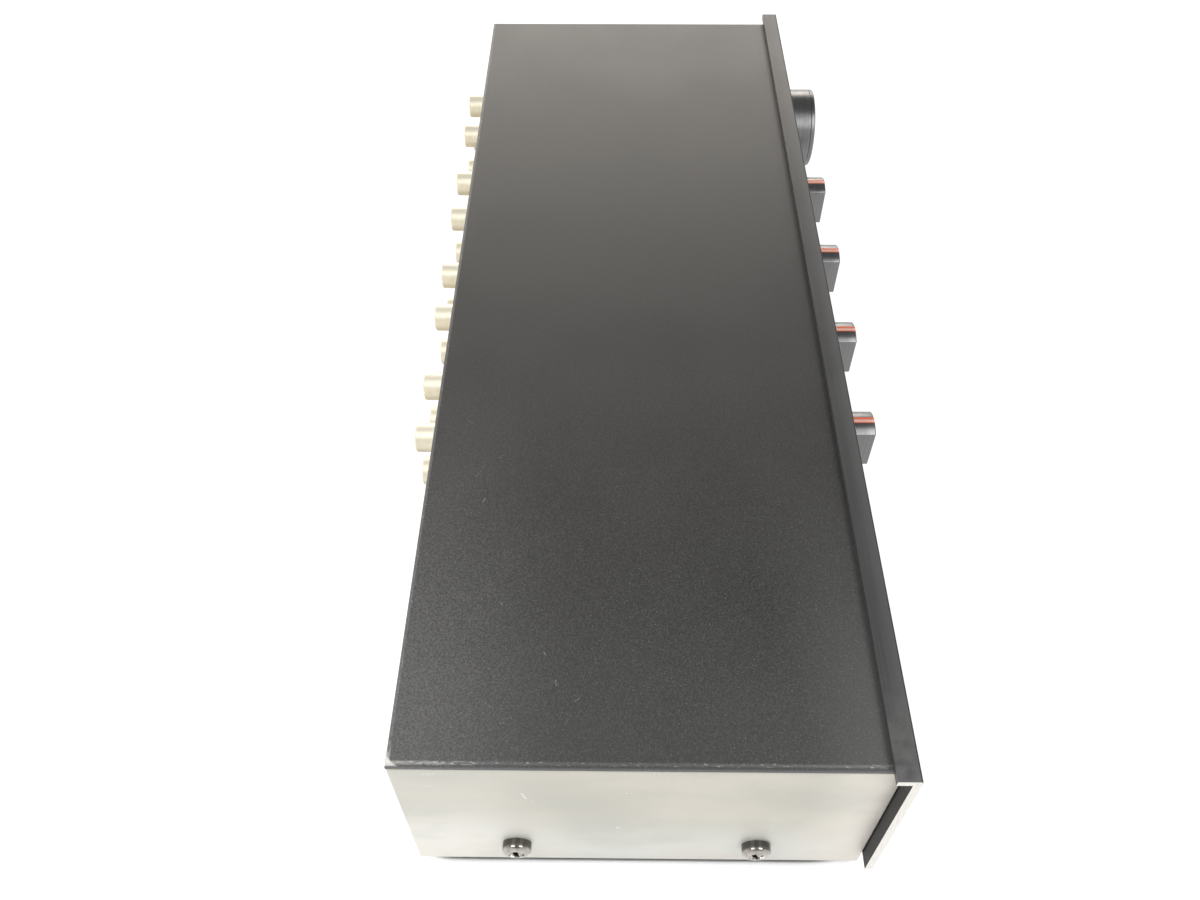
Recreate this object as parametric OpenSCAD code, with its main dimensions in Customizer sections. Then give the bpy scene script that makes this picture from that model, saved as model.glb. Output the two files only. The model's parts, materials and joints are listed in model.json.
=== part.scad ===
// Tape deck selector: a low metal case with four bar-knob selector switches and one round level
// control on its front panel, and four boards of phono jacks on its rear wall.
// Millimetres. X runs to the right seen from the front, Y to the rear, Z up from the table.

/* [Case] */
// Width of the case across its lid
case_w = 298.2; // [280:0.1:370]
// Depth of the case behind the front panel's flange
case_d = 103.8; // [85:0.1:160]
// Height of the case, from the lower edge of its sides to the top of the lid
case_h = 55.7; // [52:0.1:85]
// Thickness of the chassis and sleeve sheet
sheet_t = 1; // [0.8:0.1:1.6]
// Outer bend radius of the chassis and sleeve
bend_r = 2; // [1.8:0.1:3.5]
// Thickness of the black lid plate
lid_t = 1.9; // [1.4:0.1:3.5]
// Rounding of the lid's upper edges
lid_edge = 1; // [0.3:0.1:1.3]
// How far the lid stands out past the bare metal sides
lid_proud = 0.3; // [0:0.1:1]
// How far the lid reaches under the front panel's flange
lid_tuck = 2.3; // [1:0.1:2.7]
// How far the chassis walls lie behind the flange and inside the sleeve's rear edge
wall_inset = 0.7; // [0.2:0.1:3]
// How far the chassis floor lies above the lower edge of the sides
floor_rise = 0.7; // [0.2:0.1:3]
// Height of the chassis's end tabs, which the side screws hold
tab_h = 15; // [14:0.5:25]
// How far the sleeve's front lips turn in behind the panel
lip_w = 5; // [3:0.5:6]
// Inner bend radius of the front lips
lip_bend = 0.4; // [0.2:0.1:1]
// Gap between the front lips and the panel's web
lip_gap = 0.2; // [0.1:0.05:0.5]
// Clearance between sheets that slide together
slip = 0.1; // [0.05:0.05:0.3]

/* [Front panel] */
// Thickness of the front panel's web and flange
panel_t = 1.8; // [1.5:0.1:2.2]
// How far the panel overhangs the lid at each end
panel_overhang = 3.3; // [1:0.1:8]
// Depth of the panel's top flange, web included
panel_flange = 5.2; // [5:0.1:9]
// Height of the panel's lower edge above the lower edge of the sides
panel_rise = 5.1; // [1:0.1:10]
// Rounding of the panel's upper front edge
panel_edge = 0.4; // [0.1:0.1:1]
// Gap between the flange and the lid below it
flange_gap = 0.1; // [0.05:0.05:0.5]
// Distance of the panel's fixing studs from its ends
stud_end = 16; // [14:1:28]
// Distance of the fixing studs from the panel's lower edge and from the lid
stud_edge = 8; // [6:0.5:14]
// Diameter of the studs' spacer collars
collar_d = 5.5; // [5:0.5:8]

/* [Feet] */
// Diameter of the rubber feet
foot_d = 12; // [9:1:20]
// How far the feet stand below the sides
foot_lift = 2.2; // [1:0.1:6]
// Diameter of the feet's stems
foot_stem_d = 4.5; // [3:0.5:8]
// Distance of the feet from the ends of the lid
foot_end = 21; // [14:1:55]
// Distance of the feet from the flange and from the sleeve's rear edge
foot_side = 16; // [12:1:36]

/* [Controls] */
// Height of the control axes above the lower edge of the sides
control_z = 30.9; // [26:0.1:34]
// Diameter of the control shafts
shaft_d = 6; // [4:0.1:6.4]
// Running clearance of a shaft in its bush, on the radius
shaft_run = 0.05; // [0.02:0.01:0.1]
// Outer diameter of the threaded bushes
bush_d = 9; // [8:0.1:10]
// Width of the bush nuts across their flats
nut_af = 12; // [11.5:0.5:15]
// Thickness of the bush nuts
nut_t = 2.4; // [1.5:0.1:2.6]
// Gap between the panel's face and the knobs
knob_gap = 0.7; // [0.4:0.1:2]
// Chamfer round the knobs' front faces
knob_edge = 0.4; // [0.1:0.1:1]

/* [Selector knobs] */
// Spacing of the selectors
selector_pitch = 37.1; // [36.5:0.1:40]
// Diameter of the bar knobs' round ends
knob_d = 15.7; // [13:0.1:24]
// Width of a bar knob across its flats
knob_w = 8.9; // [8:0.1:12]
// How far the bar knobs stand out from the panel
knob_reach = 11.7; // [9:0.1:18]
// Width of the pointer line
pointer_w = 1.5; // [0.6:0.1:2.5]
// Depth of the pointer line's inlay
pointer_t = 0.5; // [0.2:0.1:1]
// How far the pointer line runs down the knob's face from its rim
pointer_drop = 5.2; // [2:0.1:6]

/* [Selector switches] */
// Angle between two positions of a selector
step_angle = 30; // [30:15:45]
// Diameter of the notched index wheel
index_d = 16; // [13:0.5:17.5]
// Thickness of the index wheel
index_t = 1.8; // [1:0.1:3]
// Thickness of the switch's front plate
plate_t = 1.5; // [1:0.1:2.5]
// Distance from the front plate to the contact wafer
wafer_gap = 8; // [6:0.5:14]
// Thickness of the contact wafer
wafer_t = 1.6; // [1:0.1:3]
// Diameter of the contact rotor
rotor_d = 13; // [11:0.5:15]
// Diameter of the spacers between the front plate and the wafer
spacer_d = 4; // [3.6:0.1:5]
// Diameter of the tie rods through the wafer
tie_d = 2.6; // [2:0.1:3.2]

/* [Level control] */
// Distance of the level control's axis from the lid's right edge
level_end = 32.3; // [26:0.1:52]
// Distance of the level control's axis from the last selector's
level_pitch = 44.9; // [40:0.1:47]
// Diameter of the round knob
level_d = 27.9; // [22:0.1:36]
// How far the round knob stands out from the panel
level_reach = 12.4; // [9:0.1:18]
// Diameter of the control's metal can
pot_d = 24; // [20:0.5:26]
// Depth of the control's metal can
pot_len = 10; // [9:0.5:16]

/* [Jacks] */
// Outer diameter of a jack's barrel
jack_d = 8.3; // [8:0.1:9]
// Wall of a jack's barrel
jack_wall = 0.8; // [0.5:0.1:1]
// How far the jacks reach past the sleeve's rear edge
jack_reach = 8.5; // [7:0.1:12]
// Bore of a jack's centre contact
socket_d = 3.2; // [2.8:0.1:3.4]
// Distance of the last jack column from the lid's right edge
jack_end = 26.9; // [24:0.1:50]
// Spacing of the two columns on one board
jack_pair = 19.8; // [16:0.1:22]
// Spacing of the two rows
jack_row = 15; // [13:0.1:17]
// Spacing of the boards
board_pitch = 49.1; // [47:0.1:52]
// Height of the middle between the rows above the lower edge of the sides
jack_z = 29; // [26:0.1:34]
// Thickness of a jack board
board_t = 1.6; // [1:0.1:2.4]

/* [Fasteners] */
// Thread diameter of the side screws
side_screw_d = 4; // [3:0.5:5]
// Head diameter of the side screws
side_head_d = 6.9; // [6:0.1:9]
// Head height of the side screws
side_head_h = 3.2; // [2:0.1:3.4]
// Height of the side screws above the lower edge of the sides
side_screw_z = 10.2; // [6:0.1:11]
// Distance of the front side screws behind the panel's flange
side_screw_front = 22.8; // [17:0.1:35]
// Distance of the rear side screws from the sleeve's rear edge
side_screw_rear = 24.4; // [17:0.1:35]
// Thread diameter of the small screws and studs
small_d = 3; // [2:0.1:3.5]
// Head diameter of the small screws
small_head_d = 5.6; // [4:0.1:6.4]
// Head height of the small screws
small_head_h = 2; // [1.4:0.1:2.6]
// Width of the small nuts across their flats
small_nut_af = 5.5; // [5:0.1:7]
// Thickness of the small nuts
small_nut_t = 2.4; // [1.4:0.1:3]
// Clearance round a small screw or stud in its hole, on the radius
small_slip = 0.15; // [0.05:0.05:0.3]
// Clearance of a thread in its nut or tapped hole, on the radius
thread_slip = 0.03; // [0.01:0.01:0.05]

/* [Hidden] */
$fn = 64;
// Overlap that lets a cut pass clean through a face
cut = 1;
// Levels
case_z = foot_lift;
floor_z = case_z + floor_rise;
lid_top = case_z + case_h;
lid_low = lid_top - lid_t;
roof_z = lid_low - sheet_t;
axis_z = case_z + control_z;
panel_z = case_z + panel_rise;
panel_top = lid_top + flange_gap + panel_t;
// Depths: the origin is the middle of the whole object's box
overall_d = max(knob_reach, level_reach) + panel_flange + case_d + jack_reach;
rear_y = overall_d / 2 - jack_reach;
front_y = rear_y - case_d;
panel_y = front_y - panel_flange;
sleeve_y = panel_y + panel_t + lip_gap;
wall_front_y = front_y + wall_inset;
wall_rear_y = rear_y - wall_inset;
tab_relief = 2 * bend_r;
// Widths
lip_r = sheet_t + lip_bend;
right_x = case_w / 2;
side_x = right_x - lid_proud;
pan_x = side_x - sheet_t - slip;
panel_w = case_w + 2 * panel_overhang;
// Controls, measured along their axes from the panel's face, positive to the front
wall_face = -(panel_flange + wall_inset);
seat = wall_face - sheet_t;
bush_over = 0.8;
bush_end = wall_face + nut_t + bush_over;
shaft_hole_slip = 0.5;
knob_face_t = 3.5;
knob_seat_slip = 0.02;
// Selector switch, behind its seat
index_gap = 0.3;
index_notch_d = 3;
index_play = 0.8;
positions = 360 / step_angle;
lug_turn = step_angle / 2;
tie_x = index_d / 2 + index_play + spacer_d / 2;
plate_margin = 1;
plate_w = 2 * (tie_x + spacer_d / 2 + plate_margin);
plate_h = index_d + 2 * plate_margin;
plate_r = 3;
wafer_over = 1;
wafer_d = plate_w + 2 * wafer_over;
wafer_face = seat - plate_t - wafer_gap;
rotor_gap = 0.3;
rotor_hub_d = 9.4;
rotor_hub_t = 4;
blade_t = 3.2;
blade_slip = 0.05;
tie_over = 2;
lug_w = 1.6;
lug_t = 0.6;
lug_l = 5;
lug_in = 2;
// Level control, behind its seat
pot_wall = 1;
pot_lip = 0.8;
track_t = 1.6;
wiper_t = 1.4;
wiper_gap = 0.6;
wiper_play = 0.8;
terminal_w = 2;
terminal_pitch = 5;
terminal_l = 6;
terminal_t = 0.8;
dish_rim = 4;
dish_d = level_d - 2 * dish_rim;
dish_t = 0.5;
// Jacks, measured from the rear wall's outer face, positive to the rear
barrel_end = jack_reach + wall_inset;
board_face = -sheet_t;
board_back = board_face - board_t;
collar_over = 2;
collar_proud = 0.4;
wall_hole_slip = 0.5;
neck_wall = 0.5;
rivet_over = 1.2;
rivet_t = 0.6;
mouth_edge = 0.3;
insulator_slip = 0.05;
insulator_recess = 0.8;
contact_wall = 0.3;
contact_recess = 0.6;
contact_tail_l = 6;
contact_tail_w = 2;
contact_tail_t = 0.8;
boards = 4;
board_margin = 4;
board_r = 2;
board_screw_x = jack_pair / 2 + jack_d / 2 + board_margin;
board_w = 2 * (board_screw_x + board_margin);
board_h = jack_row + jack_d + 2 * board_margin;
// Small screws and nuts
thread_over = 1;
stud_over = small_nut_t + thread_over;
side_hole_slip = 0.2;
side_screw_l = 9;
pan_share = 0.45;
drive_w = 1;
drive_share = 0.55;
drive_depth = 1.2;
foot_edge = 0.6;
foot_barb = 1.2;
foot_barb_t = 1.5;
lid_stud_end = 52;
lid_stud_side = 23;

// Places of what repeats
selectors = 4;
level_at = right_x - level_end;
function selector_at(i) = level_at - level_pitch - (selectors - 1 - i) * selector_pitch;
control_places = [for (i = [0 : selectors]) i < selectors ? selector_at(i) : level_at];
function board_at(b) = right_x - jack_end - jack_pair / 2 - (boards - 1 - b) * board_pitch;
jack_places = [for (x = [-1, 1], z = [-1, 1]) [x * jack_pair / 2, z * jack_row / 2]];
side_screw_places = [front_y + side_screw_front, rear_y - side_screw_rear];
stud_x = panel_w / 2 - stud_end;
stud_levels = [panel_z + stud_edge, lid_low - stud_edge];
stud_places = [for (x = [-stud_x, stud_x], z = stud_levels) [x, z]];
lid_stud_places = [for (x = [-1, 1], y = [front_y + lid_stud_side, rear_y - lid_stud_side])
    [x * (right_x - lid_stud_end), y]];
foot_places = [for (x = [-1, 1], y = [front_y + foot_side, rear_y - foot_side])
    [x * (right_x - foot_end), y]];

// Frames of reference: along X for sheet profiles, along a control's axis, and out of the rear wall
module along_x(length) {
    rotate([90, 0, 90])
        linear_extrude(height = length, center = true)
            children();
}

module along_y(from, to) {
    translate([0, to, 0])
        rotate([90, 0, 0])
            linear_extrude(height = to - from)
                children();
}

module at_control(x) {
    translate([x, panel_y, axis_z])
        rotate([90, 0, 0])
            children();
}

module at_rear(x, z) {
    translate([x, wall_rear_y, z])
        rotate([-90, 0, 0])
            children();
}

module at_jacks(b) {
    for (p = jack_places)
        at_rear(board_at(b) + p[0], case_z + jack_z + p[1])
            children();
}

module at_board_screws(b) {
    for (s = [-1, 1])
        at_rear(board_at(b) + s * board_screw_x, case_z + jack_z)
            children();
}

// A rod or hole on the local Z axis between two heights
module rod(d, from, to) {
    translate([0, 0, from])
        cylinder(d = d, h = to - from);
}

// A hexagonal nut on the local Z axis with its own hole
module hex_nut(af, hole_d, from, to) {
    difference() {
        translate([0, 0, from])
            cylinder(d = af / cos(30), h = to - from, $fn = 6);
        rod(hole_d, from - cut, to + cut);
    }
}

// A rectangle with round corners, centred
module round_rect(w, h, r) {
    square([w - 2 * r, h], center = true);
    square([w, h - 2 * r], center = true);
    for (x = [-1, 1], y = [-1, 1])
        translate([x * (w / 2 - r), y * (h / 2 - r)])
            circle(r = r);
}

// Section of a quarter bend in the sheet, below and to the right of its centre
module quarter_bend(r) {
    intersection() {
        difference() {
            circle(r = r);
            circle(r = r - sheet_t);
        }
        translate([0, -r])
            square(r);
    }
}

// Section of a bent sheet: a floor of the given width between two upright walls
module channel_section(width, height) {
    translate([-width / 2 + bend_r, 0])
        square([width - 2 * bend_r, sheet_t]);
    for (side = [0, 1])
        mirror([side, 0])
            translate([width / 2 - bend_r, bend_r]) {
                quarter_bend(bend_r);
                translate([bend_r - sheet_t, 0])
                    square([sheet_t, height - bend_r]);
            }
}

// Plated steel chassis: floor, front and rear walls and two low end tabs
module chassis() {
    wall_depth = wall_rear_y - wall_front_y;
    color("lightsteelblue")
        difference() {
            union() {
                translate([0, (wall_front_y + wall_rear_y) / 2, floor_z])
                    along_x(2 * (pan_x - bend_r))
                        channel_section(wall_depth, roof_z - slip - floor_z);
                translate([0, 0, floor_z])
                    along_y(wall_front_y + tab_relief, wall_rear_y - tab_relief)
                        channel_section(2 * pan_x, tab_h);
            }
            for (x = control_places)
                at_control(x)
                    rod(bush_d + 2 * small_slip, seat - cut, wall_face + cut);
            for (p = stud_places)
                translate([p[0], wall_front_y, p[1]])
                    rotate([-90, 0, 0])
                        rod(small_d + 2 * small_slip, -cut, sheet_t + cut);
            for (b = [0 : boards - 1]) {
                at_jacks(b)
                    rod(jack_d + collar_over + 2 * wall_hole_slip, -sheet_t - cut, cut);
                at_board_screws(b)
                    rod(small_d + 2 * small_slip, -sheet_t - cut, cut);
            }
            for (p = foot_places)
                translate([p[0], p[1], floor_z])
                    rod(foot_stem_d, -cut, sheet_t + cut);
            for (y = side_screw_places)
                translate([0, y, case_z + side_screw_z])
                    rotate([0, 90, 0])
                        rod(side_screw_d + 2 * thread_slip, -pan_x - cut, pan_x + cut);
        }
}

// Bare satin sleeve: the two sides with their front lips and the roof under the lid, bent from one sheet
module case_sleeve() {
    color("gainsboro")
        difference() {
            union() {
                translate([0, 0, lid_low])
                    along_y(sleeve_y + lip_r, rear_y)
                        mirror([0, 1])
                            channel_section(2 * side_x, lid_low - case_z);
                for (side = [0, 1])
                    mirror([side, 0, 0])
                        translate([side_x - lip_r, sleeve_y + lip_r, case_z])
                            linear_extrude(height = lid_low - bend_r - case_z) {
                                quarter_bend(lip_r);
                                translate([lip_r - lip_w, -lip_r])
                                    square([lip_w - lip_r, sheet_t]);
                            }
            }
            for (y = side_screw_places)
                translate([0, y, case_z + side_screw_z])
                    rotate([0, 90, 0])
                        rod(side_screw_d + 2 * side_hole_slip, -side_x - cut, side_x + cut);
            for (p = lid_stud_places)
                translate([p[0], p[1], roof_z])
                    rod(small_d + 2 * small_slip, -cut, sheet_t + cut);
        }
}

// Section of the lid with its upper corners rounded
module lid_section(w, left_round) {
    translate([left_round, 0])
        square([w - left_round - lid_edge, lid_t]);
    square([w, lid_t - lid_edge]);
    translate([w - lid_edge, lid_t - lid_edge])
        circle(r = lid_edge);
    if (left_round > 0)
        translate([lid_edge, lid_t - lid_edge])
            circle(r = lid_edge);
}

// Black painted lid plate with welded studs, its front edge under the panel's flange
module lid() {
    lid_front = front_y - lid_tuck;
    color("dimgray") {
        intersection() {
            translate([-right_x, 0, lid_low])
                along_y(lid_front, rear_y)
                    lid_section(case_w, lid_edge);
            translate([0, lid_front, lid_low])
                along_x(case_w + 2 * cut)
                    lid_section(rear_y - lid_front, 0);
        }
        for (p = lid_stud_places)
            translate([p[0], p[1], lid_low])
                rod(small_d, -sheet_t - stud_over, 0);
    }
}

// Black anodised front panel: an L section, web and top flange, with a hole for each shaft
module front_panel() {
    web_h = panel_top - panel_z;
    color("#1c1c1e")
        difference() {
            translate([0, panel_y, panel_z])
                along_x(panel_w) {
                    square([panel_t, web_h - panel_edge]);
                    translate([panel_edge, 0])
                        square([panel_t - panel_edge, web_h]);
                    translate([panel_edge, web_h - panel_edge])
                        circle(r = panel_edge);
                    translate([panel_edge, web_h - panel_t])
                        square([panel_flange - panel_edge, panel_t]);
                }
            for (x = control_places)
                at_control(x)
                    rod(shaft_d + 2 * shaft_hole_slip, -panel_t - cut, cut);
        }
}

// Studs that hold the panel off the chassis wall: a collar in the gap and a thread through the wall
module panel_studs() {
    color("silver")
        for (p = stud_places)
            translate([p[0], panel_y + panel_t, p[1]])
                rotate([-90, 0, 0]) {
                    gap = wall_front_y - panel_y - panel_t;
                    rod(collar_d, 0, gap);
                    rod(small_d, gap, gap + sheet_t + stud_over);
                }
}

// A screw with a rounded, cross-recessed pan head on the local Z axis, its seat at zero
module pan_screw(head_d, head_h, shank_d, shank_l) {
    edge = pan_share * head_h;
    difference() {
        union() {
            rotate_extrude() {
                square([head_d / 2, head_h - edge]);
                square([head_d / 2 - edge, head_h]);
                translate([head_d / 2 - edge, head_h - edge])
                    circle(r = edge);
            }
            rod(shank_d, -shank_l, 0);
        }
        for (turn = [0, 90])
            rotate(turn)
                translate([0, 0, head_h])
                    cube([head_d * drive_share, drive_w, 2 * drive_depth], center = true);
    }
}

// Pan-head screws, two in each side, threaded into the chassis tabs
module side_screws() {
    color("darkgray")
        for (s = [-1, 1], y = side_screw_places)
            translate([s * side_x, y, case_z + side_screw_z])
                rotate([0, s * 90, 0])
                    pan_screw(side_head_d, side_head_h, side_screw_d, side_screw_l);
}

// Low rubber feet, pulled through the chassis floor by their barbed stems
module feet() {
    stem_top = floor_z + sheet_t;
    color("#242424")
        for (p = foot_places)
            translate([p[0], p[1], 0]) {
                cylinder(d1 = foot_d - 2 * foot_edge, d2 = foot_d, h = foot_edge);
                rod(foot_d, foot_edge, floor_z);
                rod(foot_stem_d, floor_z, stem_top);
                translate([0, 0, stem_top])
                    cylinder(d1 = foot_stem_d + foot_barb, d2 = foot_stem_d - foot_barb, h = foot_barb_t);
            }
}

// Screws that hold the jack boards to the rear wall
module board_screws() {
    color("silver")
        for (b = [0 : boards - 1])
            at_board_screws(b)
                pan_screw(small_head_d, small_head_h, small_d, stud_over - board_back);
}

// The nuts inside the case: on the lid's studs, the panel's studs and the board screws
module small_nuts() {
    hole = small_d + 2 * thread_slip;
    color("silver") {
        for (p = lid_stud_places)
            translate([p[0], p[1], roof_z])
                hex_nut(small_nut_af, hole, -small_nut_t, 0);
        for (p = stud_places)
            translate([p[0], wall_front_y + sheet_t, p[1]])
                rotate([-90, 0, 0])
                    hex_nut(small_nut_af, hole, 0, small_nut_t);
        for (b = [0 : boards - 1])
            at_board_screws(b)
                hex_nut(small_nut_af, hole, board_back - small_nut_t, board_back);
    }
}

// A turned knob blank with its front edge chamfered
module knob_blank(d, reach) {
    rotate_extrude()
        polygon([
            [0, knob_gap],
            [d / 2, knob_gap],
            [d / 2, reach - knob_edge],
            [d / 2 - knob_edge, reach],
            [0, reach]
        ]);
}

// The bar knob's body: the round blank milled flat on both sides
module bar_blank() {
    intersection() {
        knob_blank(knob_d, knob_reach);
        rotate([90, 0, 0])
            linear_extrude(height = knob_d + cut, center = true)
                polygon([
                    [-knob_w / 2, knob_gap],
                    [knob_w / 2, knob_gap],
                    [knob_w / 2, knob_reach - knob_edge],
                    [knob_w / 2 - knob_edge, knob_reach],
                    [-knob_w / 2 + knob_edge, knob_reach],
                    [-knob_w / 2, knob_reach - knob_edge]
                ]);
    }
}

// The groove that the pointer line fills: along the crest and a little way down the face
module pointer_groove() {
    translate([-pointer_w / 2, knob_d / 2 - pointer_t, knob_gap - cut])
        cube([pointer_w, pointer_t + cut, knob_reach - knob_gap + 2 * cut]);
    translate([-pointer_w / 2, knob_d / 2 - pointer_drop, knob_reach - pointer_t])
        cube([pointer_w, pointer_drop + cut, pointer_t + cut]);
}

module shaft_socket(reach) {
    rod(shaft_d + 2 * knob_seat_slip, -cut, reach - knob_face_t);
}

// Bar knob of one selector, its pointer up
module selector_knob(i) {
    color("#202022")
        at_control(selector_at(i))
            difference() {
                bar_blank();
                pointer_groove();
                shaft_socket(knob_reach);
            }
}

// Orange-red line inlaid in the knob
module selector_pointer(i) {
    color("orangered")
        at_control(selector_at(i))
            intersection() {
                bar_blank();
                pointer_groove();
            }
}

// Selector shaft with its notched index wheel and the flat blade that drives the rotor
module selector_shaft(i) {
    wheel_front = seat - plate_t - index_gap;
    wheel_back = wheel_front - index_t;
    color("silver")
        at_control(selector_at(i)) {
            rod(shaft_d, wheel_front, knob_reach - knob_face_t);
            difference() {
                rod(index_d, wheel_back, wheel_front);
                for (k = [0 : positions - 1])
                    rotate(k * step_angle)
                        translate([index_d / 2, 0, 0])
                            rod(index_notch_d, wheel_back - cut, wheel_front + cut);
            }
            intersection() {
                rod(shaft_d, wafer_face - wafer_t - rotor_hub_t, wheel_back);
                translate([0, 0, wafer_face])
                    cube([shaft_d + cut, blade_t, 2 * (wafer_gap + wafer_t + rotor_hub_t)], center = true);
            }
        }
}

// The threaded bush that passes through the chassis wall, bored for the shaft
module bush(from, to) {
    difference() {
        rod(bush_d, from, to);
        rod(shaft_d + 2 * shaft_run, from - cut, to + cut);
    }
}

// Switch front plate with its bush, spacers and tie rods
module selector_bush(i) {
    back = seat - plate_t;
    color("lightgray")
        at_control(selector_at(i)) {
            bush(back, bush_end);
            difference() {
                translate([0, 0, back])
                    linear_extrude(height = plate_t)
                        round_rect(plate_w, plate_h, plate_r);
                rod(bush_d, back - cut, seat + cut);
            }
            for (s = [-1, 1])
                translate([s * tie_x, 0, 0]) {
                    rod(spacer_d, wafer_face, back);
                    rod(tie_d, wafer_face - wafer_t - tie_over, wafer_face);
                }
        }
}

module control_nut(x) {
    color("silver")
        at_control(x)
            hex_nut(nut_af, bush_d + 2 * thread_slip, wall_face, wall_face + nut_t);
}

// Contact wafer: a ring on the tie rods with solder lugs round its rim
module selector_wafer(i) {
    back = wafer_face - wafer_t;
    color("saddlebrown")
        at_control(selector_at(i))
            difference() {
                union() {
                    rod(wafer_d, back, wafer_face);
                    for (k = [0 : positions - 1])
                        rotate(k * step_angle + lug_turn)
                            translate([wafer_d / 2 - lug_in, -lug_w / 2, back - lug_t])
                                cube([lug_l, lug_w, lug_t]);
                }
                rod(rotor_d + 2 * rotor_gap, back - cut, wafer_face + cut);
                for (s = [-1, 1])
                    translate([s * tie_x, 0, 0])
                        rod(tie_d + 2 * thread_slip, back - cut, wafer_face + cut);
            }
}

// Contact rotor, turned by the shaft's blade inside the wafer
module selector_rotor(i) {
    back = wafer_face - wafer_t;
    blade_hole = [shaft_d + cut, blade_t + 2 * blade_slip, 2 * (wafer_t + rotor_hub_t + cut)];
    color("beige")
        at_control(selector_at(i))
            difference() {
                union() {
                    rod(rotor_d, back, wafer_face);
                    rod(rotor_hub_d, back - rotor_hub_t, back);
                }
                intersection() {
                    rod(shaft_d + 2 * blade_slip, back - rotor_hub_t - cut, wafer_face + cut);
                    translate([0, 0, wafer_face])
                        cube(blade_hole, center = true);
                }
            }
}

// Round knob with a shallow dish turned in its face
module level_knob() {
    color("#202022")
        at_control(level_at)
            difference() {
                knob_blank(level_d, level_reach);
                rod(dish_d, level_reach - dish_t, level_reach + cut);
                shaft_socket(level_reach);
            }
}

// Level control's shaft, down to the wiper
module level_shaft() {
    color("silver")
        at_control(level_at)
            rod(shaft_d, seat - pot_len + track_t + wiper_gap, level_reach - knob_face_t);
}

// Metal can of the level control with its bush
module level_can() {
    back = seat - pot_len;
    color("lightgray")
        at_control(level_at) {
            bush(seat - pot_wall, bush_end);
            difference() {
                rod(pot_d, back, seat);
                rod(bush_d, seat - pot_wall - cut, seat + cut);
                rod(pot_d - 2 * pot_wall - 2 * pot_lip, back - cut, seat - pot_wall);
                rod(pot_d - 2 * pot_wall, back - cut, back + track_t);
            }
        }
}

// Resistance track on its disc, which closes the can, with the solder terminals
module level_track() {
    back = seat - pot_len;
    terminal_low = -(pot_d + terminal_l) / 2;
    color("saddlebrown")
        at_control(level_at) {
            rod(pot_d - 2 * pot_wall, back, back + track_t);
            for (k = [-1 : 1])
                translate([k * terminal_pitch - terminal_w / 2, terminal_low, back - terminal_t])
                    cube([terminal_w, terminal_l, terminal_t]);
        }
}

// Wiper disc on the end of the level shaft
module level_wiper() {
    front = seat - pot_len + track_t + wiper_gap + wiper_t;
    color("beige")
        at_control(level_at)
            difference() {
                rod(pot_d - 2 * pot_wall - 2 * pot_lip - 2 * wiper_play, front - wiper_t, front);
                rod(shaft_d + 2 * knob_seat_slip, front - wiper_t - cut, front + cut);
            }
}

// Brown laminate board that carries four jacks inside the rear wall
module jack_board(b) {
    neck_d = jack_d - 2 * jack_wall + 2 * neck_wall;
    color("sienna")
        difference() {
            at_rear(board_at(b), case_z + jack_z)
                translate([0, 0, board_back])
                    linear_extrude(height = board_t)
                        round_rect(board_w, board_h, board_r);
            at_jacks(b)
                rod(neck_d + 2 * thread_slip, board_back - cut, board_face + cut);
            at_board_screws(b)
                rod(small_d + 2 * small_slip, board_back - cut, board_face + cut);
        }
}

// Turned jack shells: barrel, collar against the board and neck riveted behind it
module jack_shells(b) {
    bore_r = jack_d / 2 - jack_wall;
    neck_r = bore_r + neck_wall;
    color("burlywood")
        at_jacks(b)
            rotate_extrude()
                polygon([
                    [bore_r, board_back - rivet_t],
                    [neck_r + rivet_over, board_back - rivet_t],
                    [neck_r + rivet_over, board_back],
                    [neck_r, board_back],
                    [neck_r, board_face],
                    [(jack_d + collar_over) / 2, board_face],
                    [(jack_d + collar_over) / 2, collar_proud],
                    [jack_d / 2, collar_proud],
                    [jack_d / 2, barrel_end - mouth_edge],
                    [jack_d / 2 - mouth_edge, barrel_end],
                    [bore_r, barrel_end]
                ]);
}

// Insulators that fill the barrels round the centre contacts
module jack_insulators(b) {
    outer_r = jack_d / 2 - jack_wall - insulator_slip;
    inner_r = socket_d / 2 + contact_wall + insulator_slip;
    color("ivory")
        at_jacks(b)
            difference() {
                rod(2 * outer_r, board_back - rivet_t, barrel_end - insulator_recess);
                rod(2 * inner_r, board_back - rivet_t - cut, barrel_end);
            }
}

// Centre contacts: a tube for the plug's pin and a flat solder tail
module jack_contacts(b) {
    tube_d = socket_d + 2 * contact_wall;
    back = board_back - rivet_t;
    color("gold")
        at_jacks(b) {
            difference() {
                rod(tube_d, back - contact_tail_t, barrel_end - insulator_recess - contact_recess);
                rod(socket_d, back, barrel_end);
            }
            translate([-contact_tail_w / 2, -contact_tail_t / 2, back - contact_tail_t - contact_tail_l])
                cube([contact_tail_w, contact_tail_t, contact_tail_l]);
        }
}

chassis();
case_sleeve();
lid();
front_panel();
panel_studs();
side_screws();
feet();
board_screws();
small_nuts();
for (i = [0 : selectors - 1]) {
    name = str("selector_", i + 1, "_");
    selector_knob(i);
    selector_pointer(i);
    selector_shaft(i);
    selector_bush(i);
    control_nut(selector_at(i));
    selector_wafer(i);
    selector_rotor(i);
}
level_knob();
level_shaft();
level_can();
control_nut(level_at);  // level_nut
level_track();
level_wiper();
for (b = [0 : boards - 1]) {
    jack_board(b);
    jack_shells(b);
    jack_insulators(b);
    jack_contacts(b);
}
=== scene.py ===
"""Looks of the tape deck selector: finishes, knobs, screws and printed scales around its solids."""
import json
import math

import bmesh
import bpy
from mathutils import Matrix, Vector


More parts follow.
